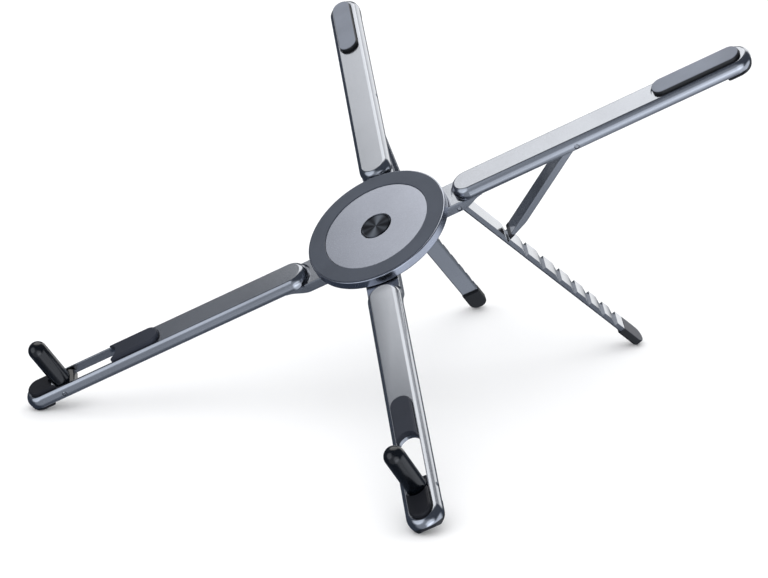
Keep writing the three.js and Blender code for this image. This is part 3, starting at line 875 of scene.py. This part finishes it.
for hand in ("left", "right"):
    which = FRONT_BAR[hand] + "_frame"
    place = front_arm_frame(hand)
    piece = pad(f"long_pad_{hand}_shell", LONG_PAD_START, SLOT_START, beside_slot=True)
    settle(piece, place, which, PAD_SILICONE, "grey_silicone", f"long_pad_{hand}")
    piece = pad(f"tip_pad_{hand}_shell", SLOT_END, FRONT_END, beside_slot=True)
    settle(piece, place, which, TIP_SILICONE, "grey_silicone", f"tip_pad_{hand}")
    settle(foot(f"foot_front_{hand}_shell"), place, which, RUBBER, "black_rubber", f"foot_front_{hand}")
    hinge = place @ shifted(PEG_REACH, 0, PEG_PIN_HEIGHT)
    settle(peg(f"peg_{hand}_shell"), hinge, f"{hand}_peg", PLASTIC, "black_plastic", f"peg_{hand}")
    settle(pin(f"peg_pin_{hand}_shell"), hinge, which, STEEL, "steel", f"peg_pin_{hand}")

    which = REAR_BAR[hand] + "_frame"
    place = rear_arm_frame(hand)
    piece = pad(f"rear_pad_{hand}_shell", *REAR_PAD)
    settle(piece, place, which, PALE_SILICONE, "pale_silicone", f"rear_pad_{hand}")
    seat = place @ shifted(REAR_END - FRONT_END)
    settle(foot(f"foot_rear_{hand}_shell"), seat, which, RUBBER, "black_rubber", f"foot_rear_{hand}")

# ---- Legs and struts ----------------------------------------------------------------------------


def leg(name):
    """A leg with its row of notches, which ends just inside its boot."""
    end = BOOT_START + BOOT_OVERLAP
    profile = [(0, -LEG_OUTER), (end, -LEG_OUTER), (end, LEG_INNER)]
    for wall in reversed(NOTCH_WALLS):
        profile += [(wall, LEG_INNER), (wall, LEG_INNER - NOTCH_DEPTH), (wall - NOTCH_RAMP, LEG_INNER)]
    profile.append((0, LEG_INNER))
    body = plank(name, profile, LEG_HALF_WIDTH)
    low = -LEG_OUTER + GAP / 2
    bevel_edges(body, LEG_ROUND, 5, lambda a, b: a.z < low and b.z < low and abs(a.x - b.x) > 1)
    join(body, cross_cylinder("eye", LEG_INNER + GAP / 2, 0, 0, LEG_HALF_WIDTH - GAP / 2, 48))
    cut(body, pin_hole("hole", 0, 0))
    return shade(soften(body, LEG_EDGE), 35)


def boot(name):
    centre = LEG_LENGTH - BOOT_HALF_WIDTH
    levels = []
    for inwards, upwards in quarter(8):
        half_width = BOOT_HALF_WIDTH - BOOT_OUTER_ROUND * inwards
        outline = lozenge(BOOT_START, centre, half_width, flat_start=True)
        levels.append((outline, -BOOT_OUTER + BOOT_OUTER_ROUND * upwards))
    for downwards, inwards in quarter(4):
        half_width = BOOT_HALF_WIDTH - BOOT_INNER_ROUND * inwards
        outline = lozenge(BOOT_START, centre, half_width, flat_start=True)
        levels.append((outline, BOOT_INNER - BOOT_INNER_ROUND * downwards))
    return shade(soften(loft(name, levels), BOOT_EDGE, 50), 40)


def taper_height(from_end):
    """Height of a strut's tapered side at a distance from the strut's end."""
    return STRUT_END_TOP + (STRUT_HALF - STRUT_END_TOP) * from_end / STRUT_TAPER


def strut(name):
    end = STRUT_LENGTH - STRUT_TIP_LENGTH
    profile = [(0, -STRUT_HALF), (end, -STRUT_HALF), (end, taper_height(STRUT_TIP_LENGTH))]
    profile += [(STRUT_LENGTH - STRUT_TAPER, STRUT_HALF), (0, STRUT_HALF)]
    body = plank(name, profile, LEG_HALF_WIDTH)
    bevel_edges(body, STRUT_ROUND, 3, lambda a, b: abs(a.y - b.y) < NEAR and abs(a.x - b.x) > 1)
    join(body, cross_cylinder("eye", STRUT_HALF - GAP / 4, 0, 0, LEG_HALF_WIDTH - GAP / 2, 48))
    cut(body, pin_hole("hole", 0, 0))
    return shade(body, 35)


def strut_tip(name):
    """The black tip, which stands out a little past the strut all round."""
    start = STRUT_LENGTH - STRUT_TIP_LENGTH + GAP
    outer = -STRUT_HALF - STRUT_TIP_PROUD
    profile = [(start, outer), (STRUT_LENGTH - STRUT_TIP_BEVEL, outer), (STRUT_LENGTH, STRUT_END_TOP)]
    profile.append((start, taper_height(STRUT_TIP_LENGTH) + STRUT_TIP_PROUD / 2))
    body = plank(name, profile, LEG_HALF_WIDTH + STRUT_TIP_WIDER)
    bevel_edges(body, STRUT_TIP_ROUND, 3, lambda a, b: abs(a.y - b.y) < NEAR)
    return shade(body, 35)


for hand in ("left", "right"):
    which = REAR_BAR[hand] + "_frame"
    on_leg, on_strut = f"{hand}_leg", f"{hand}_strut"
    hinge = leg_frame(hand)
    settle(leg(f"leg_{hand}_shell"), hinge, on_leg, ALUMINIUM, "grey_aluminium", f"leg_{hand}")
    piece = boot(f"leg_boot_{hand}_shell")
    settle(piece, hinge, on_leg, BOOT_RUBBER[hand], "black_rubber", f"leg_boot_{hand}")
    settle(pin(f"leg_pin_{hand}_shell"), hinge, which, STEEL, "steel", f"leg_pin_{hand}")
    hinge = strut_frame(hand)
    settle(strut(f"strut_{hand}_shell"), hinge, on_strut, ALUMINIUM, "grey_aluminium", f"strut_{hand}")
    piece = strut_tip(f"strut_tip_{hand}_shell")
    settle(piece, hinge, on_strut, PLASTIC, "black_plastic", f"strut_tip_{hand}")
    settle(pin(f"strut_pin_{hand}_shell"), hinge, which, STEEL, "steel", f"strut_pin_{hand}")

# ---- Pivot hardware, kept from the CAD model ----------------------------------------------------

for node, material in (
    ("pivot_spindle", STEEL),
    ("pivot_nut", STEEL),
    ("pivot_spring_washer", STEEL),
    ("pivot_spacer", NYLON),
):
    obj = frame["nodes"][node]
    obj.data.materials.clear()
    obj.data.materials.append(material)
    soften(obj, PIVOT_EDGE * MM, 40)

# ---- Floor and light ----------------------------------------------------------------------------

FLOOR_HALF_SIZE = 6.0  # in metres
FLOOR_SHADES = ((0.93, 0.935, 0.945), (0.95, 0.955, 0.965))
FLOOR_PATCHES = 3  # scale of the unevenness, per metre

# What the metal mirrors: soft panels, each (azimuth, elevation, inner and outer half-angle, strength),
# with the angles in the platform's frame.
REAR_PANELS = [
    (117, 35, 23, 28.5, 2.08),  # behind, for the flat tops
    (158, 36, 2, 14, 0.22),
    (103, -20, 8, 24, 1.75),  # behind and lower, for the right-hand sides
    (101, 6, 3, 16, 1.25),
]
FRONT_PANELS = [
    (-112, 50, 20, 33, 1.3),  # high on the left
    (-62, 12, 35, 56, 0.42),  # a wide dim one
    (-28, 6, 20, 32, 1.1),  # on the right
    (-30, -22, 20, 30, 1.1),
    (24, -40, 14, 32, 1.1),
    (-80, -72, 8, 26, 0.5),
]
REAR_TINT = (1.0, 0.985, 0.955)
FRONT_TINT = (0.955, 1.0, 1.075)
MIRRORED_AMBIENT = (0.068, 0.084, 0.115)
AMBIENT = (1.24, 1.24, 1.24)


def floor():
    """A pale floor, which reflections don't see."""
    size = FLOOR_HALF_SIZE
    corners = [(-size, -size, 0), (size, -size, 0), (size, size, 0), (-size, size, 0)]
    obj = new_object("floor", corners, [(0, 1, 2, 3)])
    nodes = Surface("floor")
    nodes.paint(nodes.blend(nodes.spread(nodes.noise(FLOOR_PATCHES, 2), 0, 1), *FLOOR_SHADES))
    nodes.shader.inputs["Roughness"].default_value = 0.7
    nodes.shader.inputs["Specular IOR Level"].default_value = 0.1
    obj.data.materials.append(nodes.material)
    obj.visible_glossy = False


def glow(nodes, colour, strength=None):
    background = nodes.add("ShaderNodeBackground")
    background.inputs["Color"].default_value = (*colour, 1)
    if strength is not None:
        nodes.link(strength, background.inputs["Strength"])
    return background.outputs["Background"]


def panel(nodes, looking, azimuth, elevation, inner, outer, strength):
    """How strongly one panel shines from the direction looked in."""
    falloff = nodes.add("ShaderNodeMapRange", interpolation_type="SMOOTHSTEP")
    falloff.inputs["From Min"].default_value = cos(radians(outer))
    falloff.inputs["From Max"].default_value = cos(radians(inner))
    falloff.inputs["To Max"].default_value = strength
    towards = PLATFORM.to_3x3() @ direction(azimuth, elevation)
    nodes.link(nodes.dot(looking, towards), falloff.inputs["Value"])
    return falloff.outputs["Result"]


def studio():
    """Reflections see the panels. Everything else is lit by the same white from all round."""
    world = bpy.data.worlds.new("studio")
    bpy.context.scene.world = world
    world.use_nodes = True
    world.node_tree.nodes.clear()
    nodes = Nodes(world.node_tree)
    looking = nodes.add("ShaderNodeTexCoord").outputs["Generated"]
    mirrored = glow(nodes, MIRRORED_AMBIENT)
    for panels, tint in ((REAR_PANELS, REAR_TINT), (FRONT_PANELS, FRONT_TINT)):
        for values in panels:
            both = nodes.add("ShaderNodeAddShader")
            nodes.link(mirrored, both.inputs[0])
            nodes.link(glow(nodes, tint, panel(nodes, looking, *values)), both.inputs[1])
            mirrored = both.outputs["Shader"]
    mix = nodes.add("ShaderNodeMixShader")
    nodes.link(nodes.add("ShaderNodeLightPath").outputs["Is Glossy Ray"], mix.inputs["Fac"])
    nodes.link(glow(nodes, AMBIENT), mix.inputs[1])
    nodes.link(mirrored, mix.inputs[2])
    nodes.link(mix.outputs["Shader"], nodes.add("ShaderNodeOutputWorld").inputs["Surface"])


# ---- Camera -------------------------------------------------------------------------------------

# In the platform's frame: direction and distance from the pivot, then its small turns in degrees.
CAMERA_AZIMUTH = -30.785
CAMERA_ELEVATION = 36.884
CAMERA_DISTANCE = 789.4
CAMERA_TURNS = {"X": 1.370, "Y": 0.684, "Z": -33.597}
CAMERA_LENS = 110.68
CAMERA_SENSOR = 36
CAMERA_CLIP_END = 20  # in metres


def camera():
    towards = direction(CAMERA_AZIMUTH, CAMERA_ELEVATION)
    forward = -towards
    right = forward.cross(Vector((0, 0, 1))).normalized()
    down = forward.cross(right)
    turn = Matrix.Identity(3)
    for axis, degrees in CAMERA_TURNS.items():
        turn = Matrix.Rotation(radians(degrees), 3, axis) @ turn
    rows = turn @ Matrix((right, down, forward))
    facing = Matrix((rows[0], -rows[1], -rows[2])).transposed().to_4x4()
    data = bpy.data.cameras.new("camera")
    data.sensor_width = CAMERA_SENSOR
    data.lens = CAMERA_LENS
    data.clip_end = CAMERA_CLIP_END
    obj = bpy.data.objects.new("camera", data)
    bpy.context.scene.collection.objects.link(obj)
    obj.matrix_world = PLATFORM @ Matrix.Translation(towards * CAMERA_DISTANCE * MM) @ facing
    bpy.context.scene.camera = obj


floor()
studio()
camera()
bpy.context.scene.view_settings.view_transform = "Standard"
